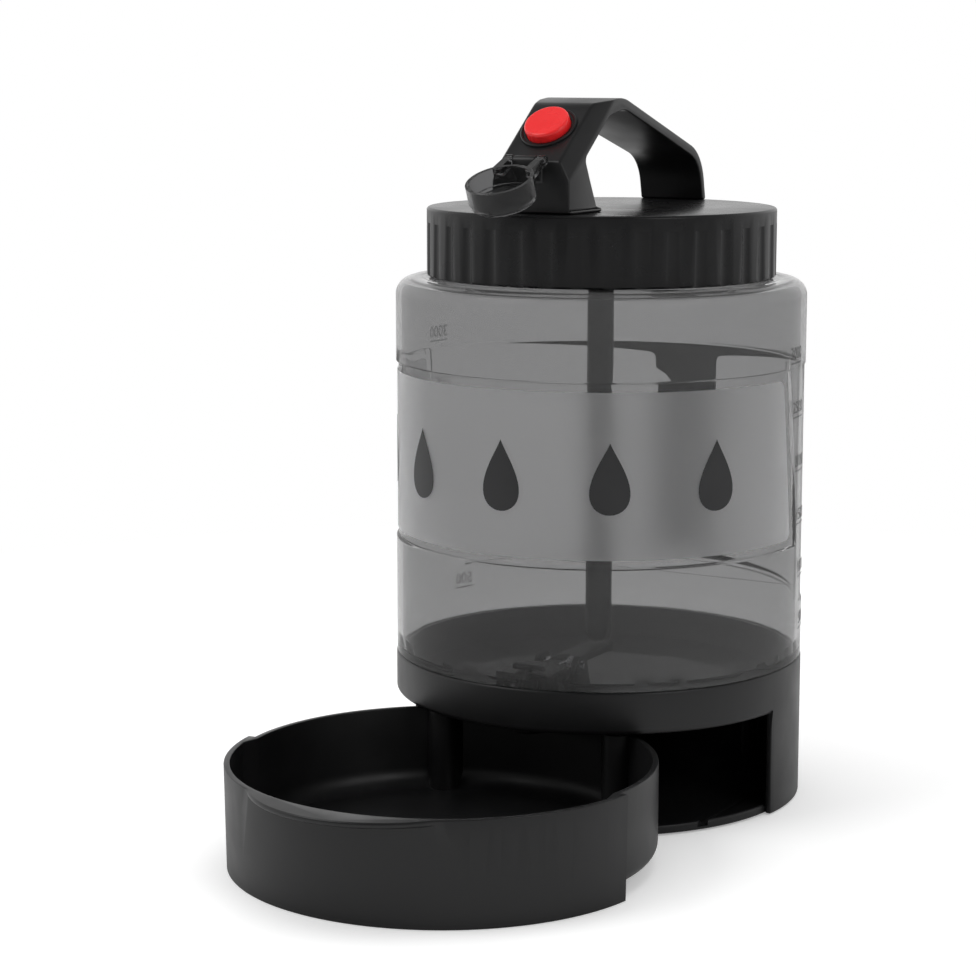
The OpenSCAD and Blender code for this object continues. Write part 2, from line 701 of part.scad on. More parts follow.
// The rubber gasket between the outlet's flange and the jar's floor
module outlet_gasket() {
    color([0.2, 0.2, 0.2]) translate([0, -outlet_y, 0])
        ring(outlet_r + 1.9, flange_r - 0.8, floor_z, plate_z);
}

// The six-sided nut that clamps the outlet from below
module outlet_nut() {
    color([0.08, 0.08, 0.085]) translate([0, -outlet_y, 0]) difference() {
        translate([0, 0, bay_h - nut_t]) cylinder(r = nut_r, h = nut_t, $fn = 6);
        translate([0, 0, bay_h - nut_t - cut]) cylinder(r = outlet_r + 1.8, h = nut_t + 2 * cut);
    }
}

// The valve's stem with the cross bar that the lever lifts
module valve_stem() {
    bar_z = valve_pivot_z + valve_lever_h + push_gap + bar_r;
    color([0.1, 0.1, 0.1]) {
        translate([0, -outlet_y, bay_h - nut_t + 0.6]) cylinder(r = valve_stem_r, h = bar_z - bay_h + nut_t);
        pin_x(-outlet_y, bar_z, bar_r, 6.4);
        translate([0, -outlet_y, seat_z + 3.1]) cylinder(r = 4, h = 1.2);
    }
}

// The soft plug that closes the seat
module valve_plug() {
    color([0.25, 0.25, 0.25]) translate([0, -outlet_y, seat_z + 0.1]) difference() {
        lathe([[0, 0], [plug_r - 0.6, 0], [plug_r, 0.6], [plug_r, 1.6], [4.6, 3], [0, 3]]);
        translate([0, 0, -cut]) cylinder(r = valve_stem_r, h = 3 + 2 * cut);
    }
}

// The rocker that lifts the plug when the rod presses its rear end
module valve_lever() {
    hub = 3.4;
    y0 = -outlet_y;
    z0 = valve_pivot_z - valve_lever_h;
    fork_w = 11;
    fork_y = y0 + 2 * plug_r;
    waist = 3;
    pad_w = 5;
    pad_y = -valve_pivot_y + 8;
    color([0.09, 0.09, 0.095]) difference() {
        union() {
            translate([0, 0, z0]) linear_extrude(2 * valve_lever_h) polygon([
                [-fork_w, y0 - 6], [fork_w, y0 - 6], [fork_w, fork_y], [waist, fork_y + 4],
                [waist, pad_y - 3], [pad_w, pad_y], [pad_w, 3], [waist, 5.5], [-waist, 5.5], [-pad_w, 3],
                [-pad_w, pad_y], [-waist, pad_y - 3], [-waist, fork_y + 4], [-fork_w, fork_y]]);
            pin_x(-valve_pivot_y, valve_pivot_z, hub, waist);
            for (s = [-1, 1]) translate([s * (fork_w - 1.6), 0, 0])
                slab([[y0 - 6, z0 - 4.4], [y0 + 8, z0 - 4.4], [fork_y, z0 + 0.1], [y0 - 6, z0 + 0.1]], 1.6);
        }
        translate([-2.9, y0 - 7, z0 - cut]) cube([5.8, 10.2, 10]);
        pin_x(-valve_pivot_y, valve_pivot_z, pin_r + pivot_gap, 20);
    }
}

// The steel pin through the cheeks and the valve lever
module valve_lever_pin() {
    color([0.75, 0.75, 0.77]) pin_x(-valve_pivot_y, valve_pivot_z, pin_r, cheek_x + cheek_t + 0.6);
}

// The torsion spring that presses the plug onto its seat
module valve_spring() {
    r = 2.5;
    wire = 0.4;
    color([0.75, 0.75, 0.77]) {
        translate([3.3, -valve_pivot_y, valve_pivot_z]) rotate([0, 90, 0]) coil(r, wire, 2.25, 3.4, 20, 90);
        translate([3.3 + wire, -valve_pivot_y + r, seat_z + 0.7])
            cylinder(r = wire - 0.04, h = valve_pivot_z - seat_z - 0.6, $fn = 8);
        translate([6.7 - wire, -valve_pivot_y + 0.1, valve_pivot_z + r]) rotate([90, 0, 0])
            cylinder(r = wire - 0.04, h = 14, $fn = 8);
    }
}

// The long rod from the lid to the valve lever
module push_rod() {
    color([0.08, 0.08, 0.08]) {
        translate([0, 0, foot_z + rod_r]) sphere(r = rod_r);
        translate([0, 0, foot_z + rod_r]) cylinder(r = rod_r, h = head_top - head_t - foot_z - rod_r + 0.5);
        lathe([[0, head_top - head_t], [head_r - 0.5, head_top - head_t], [head_r, head_top - head_t + 0.5],
            [head_r, head_top - 0.5], [head_r - 0.5, head_top], [0, head_top]]
            );
    }
}

// The spring that lifts the rod back
module rod_spring() {
    color([0.75, 0.75, 0.77]) translate([0, 0, liner_top])
        coil(7.9, 0.5, 4, head_top - head_t - liner_top, 24);
}

// The lip seal round the rod, under the liner pan
module rod_seal() {
    color([0.2, 0.2, 0.2]) lathe([[rod_r + slide_gap, liner_floor - 1], [rod_r + 1.2, liner_floor - 2.4],
        [rod_r + 2, liner_floor - 2.4], [8, liner_floor - 1.4], [8, liner_floor],
        [rod_r + slide_gap, liner_floor]]);
}

// The screw lid: top plate, fluted skirt, inner thread and the liner's posts
module lid_cap() {
    flute_h = lid_h - flute_top;
    color([0.07, 0.07, 0.075]) {
        difference() {
            union() {
                lathe([[skirt_ri, lid_z], [lid_r - 0.8, lid_z], [lid_r, lid_z + 0.8], [lid_r, lid_top - 0.7],
                    [lid_r - 0.7, lid_top], [0, lid_top], [0, lid_ceiling], [skirt_ri, lid_ceiling]]);
                thread(skirt_ri + 0.3, neck_r + thread_gap, shoulder_z + 6 - pitch / 2, 0);
                for (x = [-1, 1]) for (y = [-1, 1])
                    translate([x * liner_post.x, y * liner_post.y, liner_top])
                    cylinder(r = liner_post_r, h = lid_ceiling - liner_top + 0.1);
            }
            for (i = [0:flutes - 1]) rotate(i * 360 / flutes)
                translate([lid_r + flute_r - flute_d, 0, lid_z - cut])
                cylinder(r = flute_r, h = flute_h + cut, $fn = 48);
            translate([-5, -crank_y - 4.4, lid_ceiling - cut]) cube([10, 17.2, lid_t + 2 * cut]);
            translate([-tongue_w - 0.1, claw_y - claw_t / 2 - 0.1, lid_ceiling - 0.01])
                cube([2 * tongue_w + 0.2, claw_t + 0.2, lid_t + cut]);
            for (p = handle_screw_places()) translate([p.x, p.y, lid_ceiling - 0.01]) {
                cylinder(r = screw_hole_r, h = lid_t + cut);
                cylinder(r1 = 2.9, r2 = screw_hole_r, h = 1.3);
            }
            for (x = [-1, 1]) for (y = [-1, 1])
                translate([x * liner_post.x, y * liner_post.y, liner_top - cut])
                cylinder(r = pilot_r, h = liner_screw_l + cut);
        }
    }
}

// Places of the screws that hold the handle on the lid
function handle_screw_places() = [for (s = [-1, 1]) [s * 11, -front_y + 11]];

// The pan under the lid's plate that closes off the linkage
module lid_liner() {
    color([0.12, 0.12, 0.125]) difference() {
        union() {
            ring(liner_ri, neck_r + 2, liner_flange, lid_ceiling);
            ring(liner_ri, liner_r, liner_floor, lid_ceiling);
            translate([0, 0, liner_floor]) cylinder(r = liner_r - 0.1, h = liner_t);
            translate([0, 0, liner_floor]) cylinder(r = boss_r, h = liner_t + boss_h);
        }
        translate([0, 0, liner_floor - cut]) cylinder(r = rod_r + slide_gap, h = liner_t + boss_h + 2 * cut);
        for (x = [-1, 1]) for (y = [-1, 1])
            translate([x * liner_post.x, y * liner_post.y, liner_floor - cut])
            cylinder(r = screw_hole_r, h = liner_t + 2 * cut);
    }
}

// The four screws that hold the liner pan to the lid's posts
module liner_screws() {
    color([0.7, 0.7, 0.72]) for (x = [-1, 1]) for (y = [-1, 1])
        translate([x * liner_post.x, y * liner_post.y, liner_floor - 1.5])
        screw(2.8, 1.5, pilot_r, liner_screw_l);
}

// The flat gasket between the neck's edge and the liner's flange
module lid_gasket() {
    color([0.25, 0.25, 0.25]) ring(neck_ri + 0.2, neck_r + 1.8, neck_top, liner_flange);
}

// Outer outline of the handle, seen from the side
function handle_outline() =
    let (t = tan(strap_angle), cz = lid_top + crest_h,
         py = -front_y + (crest_h - 2.2 - front_h) / tan(panel_angle),
         foot_t = tan(12.2), zy = cz - crest_y * t - lid_top,
         ry = (rear_y - foot_t * zy) / (1 - foot_t * t), rz = cz - crest_y * t - ry * t)
    [[-front_y, lid_top, 0], [-front_y, panel_z, corner_r], [py, cz - 2.2, 8], [-crest_y, cz, 25],
     [ry, rz, 19], [rear_y, lid_top, 0]];

// The carry handle: button housing on the front leg, and the strap down to the rear foot
module handle() {
    nt = strap_t / cos(strap_angle);
    o = handle_outline();
    slope = tan(panel_angle);
    under_y = leg_y + 9.5;
    taper_y = leg_y + 5;
    under_z = panel_z + (front_y + under_y) * slope - panel_t / cos(panel_angle);
    hole = [[leg_y, lid_top - cut, 0], [leg_y - 0.4, lid_top + foot_d, 0], [leg_y - 6.3, lid_top + 12.8, 3],
        [leg_y - 10, under_z - (under_y - leg_y + 10) * slope, 2.5], [under_y, under_z, 7],
        [-crest_y, lid_top + crest_h - nt - 0.8, 20], [o[4].x - strap_t * 0.79, o[4].y - nt * 0.82, 16],
        [rear_y - strap_t - 0.2, lid_top, 0], [rear_y - strap_t, lid_top - cut, 0]];
    core = [[-front_y + 1, lid_top, 0], [-front_y + 1, panel_z - 6, 0], [leg_y + 5, lid_top + 34, 0],
        [cavity_y + 1.9, lid_top + 27, 3], [cavity_y + 1.9, lid_top, 0]];
    color([0.07, 0.07, 0.075]) difference() {
        union() {
            intersection() {
                difference() {
                    slab(rounded(o), handle_w);
                    slab(rounded(hole), handle_w + cut);
                }
                translate([0, 0, lid_top - cut]) linear_extrude(big) polygon([
                    [-handle_w, -big], [handle_w, -big], [handle_w, taper_y], [handle_w_rear, rear_y],
                    [handle_w_rear, big], [-handle_w_rear, big], [-handle_w_rear, rear_y],
                    [-handle_w, taper_y]]);
            }
            slab(rounded(core), 7.2);
            on_panel() translate([0, 0, -guide_n - guide_t - 1.6])
                cylinder(r = well_r + 1.4, h = guide_n + guide_t + 0.6);
            translate([-handle_w - 0.8, -front_y, lid_top]) cube([2 * handle_w + 1.6, leg_d + 2, foot_d]);
            translate([-tongue_w, claw_y - claw_t / 2, lid_ceiling + 0.2])
                cube([2 * tongue_w, claw_t, lid_t]);
            slab(rounded([[hinge_y - hinge_r, hinge_z + hinge_r, 2],
                [hinge_y - hinge_r, hinge_z - hinge_r - 0.6, 2],
                [-front_y + 1, hinge_z - 9, 0], [-front_y + 1, hinge_z - 1, 0],
                [-front_y + 1.6, hinge_z + 0.6, 0]]), lug_w);
        }
        // chamfers beside the panel
        for (s = [0, 1]) mirror([s, 0, 0]) on_panel() translate([0, big / 2, 0]) rotate([90, 0, 0])
            linear_extrude(big) polygon([[handle_w - chamfer_w, 0], [handle_w - chamfer_w + 0.7, 1],
                [handle_w + 2, 1], [handle_w + 2, -chamfer_d - 1], [handle_w, -chamfer_d]]);
        // well for the button, seat for its guide and room for the lever
        on_panel() translate([0, 0, -guide_n - guide_t]) cylinder(r = well_r, h = 20);
        slab([[-front_y + 2.4, lid_top - cut], [-front_y + 2.4, lid_top + 14], [-49, lid_top + 22],
            [-38, lid_top + 24], [cavity_y, lid_top + 26], [cavity_y, lid_top - cut]], 4.8);
        slab([[-front_y + 8, lid_top + 13], [-40, lid_top + 28], [cavity_y, lid_top + 26],
            [-38, lid_top + 12]], 4.4);
        // hollows on both sides, round the screw bosses
        for (s = [-1, 1]) difference() {
            translate([s * 10.6, 0, 0]) slab([[-front_y + 2.4, lid_top - cut], [-front_y + 2.4, lid_top + 11],
                [-44, lid_top + 11], [-38, lid_top + 1], [-38, lid_top - cut]], 3.4);
            translate([s * 11, -front_y + 11, lid_top - cut]) cylinder(r = pilot_r + 1.9, h = 20);
        }
        pin_x(crank_pivot.x, crank_pivot.y, pin_r, 7.2);
        for (p = handle_screw_places()) translate([p.x, p.y, lid_top - cut])
            cylinder(r = pilot_r, h = cut + handle_screw_l + 0.5);
        pin_x(hinge_y, hinge_z, cover_pin_r, 20);
    }
}

// The countersunk screws that hold the handle
module handle_screws() {
    color([0.7, 0.7, 0.72]) for (p = handle_screw_places()) translate([p.x, p.y, lid_ceiling]) difference() {
        union() {
            cylinder(r1 = 2.8, r2 = pilot_r, h = 1.2);
            cylinder(r = pilot_r, h = lid_t + handle_screw_l);
        }
        for (a = [0, 90]) rotate(a) translate([-1.7, -0.3, -cut]) cube([3.4, 0.6, cut + 0.7]);
    }
}

// The bell crank that turns the button's stroke into the rod's stroke
module lid_lever() {
    n = [-sin(panel_angle), cos(panel_angle)];
    u = [cos(panel_angle), sin(panel_angle)];
    pad = [button_y, button_z] - n * (stem_n + push_gap);
    p = crank_pivot;
    pad_l = 2.6;
    lever_w = 3.4;
    color([0.1, 0.1, 0.105]) difference() {
        union() {
            slab([pad - u * pad_l, pad + u * pad_l, pad + u * pad_l - n * 2.2, pad - u * 0.6 - n * 4.4,
                p + [2.4, -1.6], p + [-2.6, 1.4], pad - u * (pad_l + 1.2) - n * 1.6], lever_w);
            slab([p + [-3, 0], [p.x - 1.6, nose_z + 1.4], [p.x + 3.4, nose_z - 2.6], [-3, nose_z - 2.2],
                [0, nose_z + nose_r], [-4, nose_z + nose_r], [p.x + 9, nose_z + 2.2], p + [3.2, -1]],
                lever_w);
            pin_x(p.x, p.y, pin_r + 1.9, lever_w + 1);
            pin_x(0, nose_z, nose_r, lever_w);
        }
        pin_x(p.x, p.y, pin_r + pivot_gap, 20);
    }
}

// The steel pin that carries the bell crank in the handle's leg
module lid_lever_pin() {
    color([0.75, 0.75, 0.77]) pin_x(crank_pivot.x, crank_pivot.y, pin_r, 7.2);
}

// The plate under the button that guides its stem and carries its spring
module button_guide() {
    color([0.12, 0.12, 0.125]) on_panel() difference() {
        translate([0, 0, -guide_n - guide_t]) cylinder(r = well_r - well_gap, h = guide_t);
        translate([0, 0, -guide_n - guide_t - cut]) cylinder(r = stem_r + slide_gap, h = 10);
    }
}

// The spring that pushes the button back up
module button_spring() {
    color([0.75, 0.75, 0.77]) on_panel() translate([0, 0, -guide_n])
        coil(5.2, 0.4, 4, guide_n + button_h - 1.8, 20);
}

// The bezel pressed into the panel, which keeps the button in
module button_bezel() {
    color([0.08, 0.08, 0.085]) on_panel() lathe([[button_r + button_gap, -bezel_t],
        [well_r - well_gap, -bezel_t], [well_r - well_gap, 0], [bezel_r, 0], [bezel_r, bezel_h - 0.3],
        [bezel_r - 0.3, bezel_h], [well_r + 0.4, bezel_h], [well_r - 0.1, 0.3],
        [button_r + button_gap, 0.3]]);
}

// The red press button: a cup with a flange that keeps it under the bezel, and a stem
module push_button() {
    r = button_r;
    top = button_h;
    fl = -bezel_t - push_gap;
    color([0.95, 0.15, 0.15]) on_panel() {
        lathe(concat([[0, top - 1.8], [r - 1.6, top - 1.8], [r - 1.6, fl - button_flange + 0.01],
            [r + 0.9, fl - button_flange + 0.01], [r + 0.9, fl], [r, fl]],
            arc([r - 1.2, top - 1.2], 1.2, 0, 80, 4), [[0, top + 0.15]]));
        translate([0, 0, -stem_n + stem_r]) cylinder(r = stem_r, h = stem_n - stem_r + top - 1.5);
        translate([0, 0, -stem_n + stem_r]) sphere(r = stem_r);
    }
}

// The dust cover when closed over the button, in the panel's own frame
module cover_closed() {
    hy = -cover_reach;
    hz = cover_up;
    difference() {
        union() {
            translate([0, 0, mouth_n]) lathe([[0, 0], [cover_r, 0], [cover_r, cover_h - 2.6],
                [cover_r - 0.7, cover_h - 2.4], [cover_r - 0.7, cover_h - 0.6],
                [cover_r - 1.3, cover_h], [0, cover_h]]);
            for (s = [-1, 1]) translate([s * (lug_w + arm_gap + arm_w / 2), 0, 0]) {
                slab([[hy, hz - 1.6], [-cover_r + 3, mouth_n + 0.2], [-cover_r + 3, mouth_n + 4.6],
                    [hy, hz + 1.9]], arm_w / 2);
                pin_x(hy, hz, hinge_r - 0.3, arm_w / 2);
            }
            translate([-1, cover_r - 1.4, mouth_n + cover_h - 3]) cube([2, 1.6, 2.6]);
        }
        translate([0, 0, mouth_n - cut]) cylinder(r = cover_r - cover_t, h = cover_h - 1.6 + cut);
        pin_x(hy, hz, cover_pin_r + pivot_gap, 20);
    }
}

// The clear dust cover, swung open over the front of the lid
module button_cover() {
    color([0.35, 0.35, 0.36, 0.6]) on_panel() translate([0, -cover_reach, cover_up])
        rotate([cover_open, 0, 0]) translate([0, cover_reach, -cover_up]) cover_closed();
}

// The dust cover's hinge pin, pressed into the handle's lug
module cover_pin() {
    color([0.75, 0.75, 0.77]) pin_x(hinge_y, hinge_z, cover_pin_r, lug_w + arm_gap + arm_w - 0.2);
}

base_housing();
base_floor();
base_screws();
rubber_feet();
bowl();
bottle();
label_panel();
rear_grip();
outlet_body();
outlet_gasket();
outlet_nut();
valve_stem();
valve_plug();
valve_lever();
valve_lever_pin();
valve_spring();
push_rod();
rod_spring();
rod_seal();
lid_cap();
lid_liner();
liner_screws();
lid_gasket();
handle();
handle_screws();
lid_lever();
lid_lever_pin();
button_guide();
button_spring();
button_bezel();
push_button();
button_cover();
cover_pin();
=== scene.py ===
import math

import bmesh
import bpy
from mathutils import Matrix, Vector


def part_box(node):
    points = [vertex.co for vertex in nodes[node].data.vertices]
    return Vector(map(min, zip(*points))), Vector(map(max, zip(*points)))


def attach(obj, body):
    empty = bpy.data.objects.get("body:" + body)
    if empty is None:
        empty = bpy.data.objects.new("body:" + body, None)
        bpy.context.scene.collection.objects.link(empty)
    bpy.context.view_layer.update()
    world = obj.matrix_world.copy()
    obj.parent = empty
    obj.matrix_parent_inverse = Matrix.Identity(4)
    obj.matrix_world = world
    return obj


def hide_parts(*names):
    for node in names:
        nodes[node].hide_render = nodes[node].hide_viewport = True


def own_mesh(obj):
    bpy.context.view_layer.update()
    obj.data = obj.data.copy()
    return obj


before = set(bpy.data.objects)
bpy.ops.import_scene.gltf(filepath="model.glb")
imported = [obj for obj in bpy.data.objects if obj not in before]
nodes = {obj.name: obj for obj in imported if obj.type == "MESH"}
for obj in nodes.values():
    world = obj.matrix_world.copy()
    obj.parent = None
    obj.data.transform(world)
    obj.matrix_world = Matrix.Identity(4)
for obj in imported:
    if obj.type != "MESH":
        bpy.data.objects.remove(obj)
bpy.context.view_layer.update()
scene = bpy.context.scene
MM = 0.001

# Materials


def new_material(name):
    m = bpy.data.materials.new(name)
    m.use_nodes = True
    m.node_tree.nodes.clear()
    out = m.node_tree.nodes.new("ShaderNodeOutputMaterial")
    return m, m.node_tree, out


def principled(tree, **values):
    s = tree.nodes.new("ShaderNodeBsdfPrincipled")
    for key, value in values.items():
        s.inputs[key.replace("_", " ")].default_value = value
    return s


def noise(tree, scale, detail=3.0, rough=0.55, coord="Object", stretch=(1, 1, 1)):
    tc = tree.nodes.new("ShaderNodeTexCoord")
    mp = tree.nodes.new("ShaderNodeMapping")
    mp.inputs["Scale"].default_value = stretch
    n = tree.nodes.new("ShaderNodeTexNoise")
    n.inputs["Scale"].default_value = scale
    n.inputs["Detail"].default_value = detail
    n.inputs["Roughness"].default_value = rough
    tree.links.new(tc.outputs[coord], mp.inputs["Vector"])
    tree.links.new(mp.outputs["Vector"], n.inputs["Vector"])
    return n


def ramp(tree, source, a, b, lo, hi):
    r = tree.nodes.new("ShaderNodeMapRange")
    r.inputs["From Min"].default_value = a
    r.inputs["From Max"].default_value = b
    r.inputs["To Min"].default_value = lo
    r.inputs["To Max"].default_value = hi
    tree.links.new(source, r.inputs["Value"])
    return r


def mix_colour(tree, factor, a, b):
    m = tree.nodes.new("ShaderNodeMix")
    m.data_type = "RGBA"
    m.inputs["A"].default_value = (*a, 1)
    m.inputs["B"].default_value = (*b, 1)
    tree.links.new(factor, m.inputs["Factor"])
    return m


def bump(tree, height, strength, distance):
    b = tree.nodes.new("ShaderNodeBump")
    b.inputs["Strength"].default_value = strength
    b.inputs["Distance"].default_value = distance
    tree.links.new(height, b.inputs["Height"])
    return b


def moulded(name, dark, light, rough=(0.34, 0.46), grain=2600.0, depth=0.12, spec=0.5):
    m, t, out = new_material(name)
    s = principled(t)
    s.inputs["Specular IOR Level"].default_value = spec
    cloud = noise(t, 38.0, 4.0)
    c = mix_colour(t, ramp(t, cloud.outputs["Fac"], 0.35, 0.7, 0.0, 1.0).outputs["Result"], dark, light)
    t.links.new(c.outputs["Result"], s.inputs["Base Color"])
    fine = noise(t, grain, 2.0)
    t.links.new(ramp(t, cloud.outputs["Fac"], 0.3, 0.7, rough[0], rough[1]).outputs["Result"], s.inputs["Roughness"])
    t.links.new(bump(t, fine.outputs["Fac"], depth, 0.00006).outputs["Normal"], s.inputs["Normal"])
    t.links.new(s.outputs["BSDF"], out.inputs["Surface"])
    return m


def clear(name, colour, rough, ior=1.46, wave=0.03, haze=0.0, haze_grey=0.6, depth=0.0):
    m, t, out = new_material(name)
    s = principled(t)
    s.inputs["Base Color"].default_value = (*colour, 1)
    s.inputs["Transmission Weight"].default_value = 1.0
    s.inputs["IOR"].default_value = ior
    cloud = noise(t, 22.0, 2.0)
    t.links.new(ramp(t, cloud.outputs["Fac"], 0.0, 1.0, rough[0], rough[1]).outputs["Result"], s.inputs["Roughness"])
    t.links.new(bump(t, cloud.outputs["Fac"], wave, 0.002).outputs["Normal"], s.inputs["Normal"])
    milk = t.nodes.new("ShaderNodeBsdfDiffuse")
    milk.inputs["Color"].default_value = (haze_grey, haze_grey, haze_grey, 1)
    both = t.nodes.new("ShaderNodeMixShader")
    both.inputs["Fac"].default_value = haze
    t.links.new(s.outputs["BSDF"], both.inputs[1])
    t.links.new(milk.outputs["BSDF"], both.inputs[2])
    t.links.new(both.outputs[0], out.inputs["Surface"])
    if depth:
        soak = t.nodes.new("ShaderNodeVolumeAbsorption")
        soak.inputs["Color"].default_value = (0.05, 0.05, 0.05, 1)
        soak.inputs["Density"].default_value = depth
        t.links.new(soak.outputs["Volume"], out.inputs["Volume"])
    return m


black = moulded("black_plastic", (0.006, 0.006, 0.0065), (0.009, 0.009, 0.0095), spec=0.4)
black_fine = moulded("black_handle", (0.006, 0.006, 0.0065), (0.010, 0.010, 0.0105), (0.3, 0.42), 3200.0, 0.08, 0.4)
black_gloss = moulded("black_lid", (0.006, 0.006, 0.0065), (0.009, 0.009, 0.0095), (0.24, 0.31), 2600.0, 0.05, 0.28)
black_inner = moulded("black_inner", (0.005, 0.005, 0.0055), (0.007, 0.007, 0.0075), (0.45, 0.55), spec=0.3)
rubber = moulded("rubber", (0.012, 0.012, 0.012), (0.018, 0.018, 0.018), (0.6, 0.75), 1800.0, 0.2, 0.3)
grip_rubber = moulded("grip_rubber", (0.02, 0.02, 0.02), (0.028, 0.028, 0.028), (0.6, 0.75), 1800.0, 0.2, 0.3)
silicone = moulded("silicone", (0.05, 0.05, 0.052), (0.07, 0.07, 0.072), (0.42, 0.55), 2000.0, 0.08)
red = moulded("red_plastic", (0.9, 0.018, 0.02), (0.95, 0.026, 0.028), (0.24, 0.32), 2400.0, 0.05, 0.4)
print_ink = moulded("print_ink", (0.024, 0.024, 0.025), (0.032, 0.032, 0.033), (0.35, 0.45), 2600.0, 0.05, 0.3)


def steel_material():
    m, t, out = new_material("steel")
    s = principled(t, Metallic=1.0)
    brushed = noise(t, 900.0, 3.0, stretch=(0.1, 1, 1))
    c = mix_colour(t, brushed.outputs["Fac"], (0.52, 0.52, 0.53), (0.68, 0.68, 0.69))
    t.links.new(c.outputs["Result"], s.inputs["Base Color"])
    t.links.new(ramp(t, brushed.outputs["Fac"], 0.3, 0.7, 0.2, 0.34).outputs["Result"], s.inputs["Roughness"])
    t.links.new(bump(t, brushed.outputs["Fac"], 0.1, 0.0001).outputs["Normal"], s.inputs["Normal"])
    t.links.new(s.outputs["BSDF"], out.inputs["Surface"])
    return m


def mark_material():
    m, t, out = new_material("mark_ink")
    s = principled(t)
    s.inputs["Alpha"].default_value = 0.4
    s.inputs["Specular IOR Level"].default_value = 0.1
    worn = noise(t, 900.0, 3.0)
    c = mix_colour(t, worn.outputs["Fac"], (0.03, 0.03, 0.03), (0.09, 0.09, 0.09))
    t.links.new(c.outputs["Result"], s.inputs["Base Color"])
    t.links.new(ramp(t, worn.outputs["Fac"], 0.3, 0.7, 0.4, 0.6).outputs["Result"], s.inputs["Roughness"])
    t.links.new(s.outputs["BSDF"], out.inputs["Surface"])
    return m


steel = steel_material()
mark_ink = mark_material()
smoky = clear("smoky_plastic", (0.51, 0.51, 0.512), (0.004, 0.012), ior=1.12, wave=0.0, haze=0.078, depth=22.0)
smoky_cup = clear("smoky_cover", (0.14, 0.14, 0.142), (0.08, 0.14), ior=1.3, wave=0.0, haze=0.04, haze_grey=0.25)
frosted = clear("frosted_film", (0.93, 0.93, 0.935), (0.42, 0.52), ior=1.17, wave=0.0, haze=0.09)

# Materials of the CAD nodes

PAINT = {
    "base_housing": black, "base_floor": black, "base_screws": steel, "rubber_feet": rubber,
    "bowl": black, "bottle": smoky, "label_panel": frosted, "rear_grip": rubber,
    "outlet_body": black_inner, "outlet_gasket": silicone, "outlet_nut": black_inner,
    "valve_stem": black_inner, "valve_plug": silicone, "valve_lever": black_inner,
    "valve_lever_pin": steel, "valve_spring": steel, "push_rod": black_inner, "rod_spring": steel,
    "rod_seal": silicone, "lid_cap": black_gloss, "lid_liner": black_inner, "liner_screws": steel,
    "lid_gasket": silicone, "handle": black_fine, "handle_screws": steel, "lid_lever": black_inner,
    "lid_lever_pin": steel, "button_guide": black_inner, "button_spring": steel,
    "button_bezel": black_fine, "push_button": red, "button_cover": smoky_cup, "cover_pin": steel,
}
for name, material in PAINT.items():
    o = nodes[name]
    o.data.materials.clear()
    o.data.materials.append(material)

# Mesh helpers


def add_piece(name, mesh, material, body, *replaced):
    """Links a mesh as a piece that rides on a body and stands for the given CAD nodes."""
    o = bpy.data.objects.new(name, mesh)
    scene.collection.objects.link(o)
    mesh.materials.clear()
    mesh.materials.append(material)
    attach(o, body)
    for node in replaced:
        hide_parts(node)
    return o


def smooth_by_angle(bm, degrees=35.0):
    for f in bm.faces:
        f.smooth = True
    for e in bm.edges:
        e.smooth = not (e.is_manifold and e.calc_face_angle(0.0) > math.radians(degrees))


def mesh_from(name, verts, faces, degrees=35.0):
    me = bpy.data.meshes.new(name)
    me.from_pydata([tuple(v) for v in verts], [], faces)
    bm = bmesh.new()
    bm.from_mesh(me)
    bmesh.ops.recalc_face_normals(bm, faces=bm.faces)
    smooth_by_angle(bm, degrees)
    bm.to_mesh(me)
    bm.free()
    return me


def dressed(node, name, material, body, width, segments=3, limit=32.0, low=-1.0):
    """A copy of a CAD node's mesh with rounded edges above a height, shown in the node's place."""
    me = nodes[node].data.copy()
    bm = bmesh.new()
    bm.from_mesh(me)
    bmesh.ops.remove_doubles(bm, verts=bm.verts, dist=1e-6)
    bmesh.ops.dissolve_limit(bm, angle_limit=math.radians(0.6), verts=bm.verts, edges=bm.edges)
    edges = [e for e in bm.edges if e.is_manifold and e.calc_face_angle(0.0) > math.radians(limit)
             and min(v.co.z for v in e.verts) > low]
    bmesh.ops.bevel(bm, geom=edges, offset=width, offset_type="OFFSET", segments=segments, profile=0.5,
                    affect="EDGES", clamp_overlap=False, miter_outer="SHARP")
    smooth_by_angle(bm, 40.0)
    bm.to_mesh(me)
    bm.free()
    return add_piece(name, me, material, body, node)


# The jar: recesses for the label and the grip, with slanted ends

jar_lo, jar_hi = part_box("bottle")
film_lo, film_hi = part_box("label_panel")
grip_lo, grip_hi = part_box("rear_grip")
housing_lo, housing_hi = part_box("base_housing")
cap_lo, cap_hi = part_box("lid_cap")

AXIS_R = 1 * MM
JAR_R = jar_hi.x
WALL = 2.2 * MM
FLOOR_T = 2.6 * MM
FOOT_R = 78.6 * MM
FOOT_ROUND = 1.5 * MM
INNER_ROUND = 3 * MM
EDGE_ROUND = 0.6 * MM
BAND_TOP = housing_hi.z
SHOULDER_Z = cap_lo.z - 0.6 * MM
SHOULDER_R = 6.5 * MM
NECK_R = 63.6 * MM
NECK_T = 2.6 * MM
BEAD_R = cap_hi.x + 0.7 * MM
BEAD_ROUND = 0.9 * MM

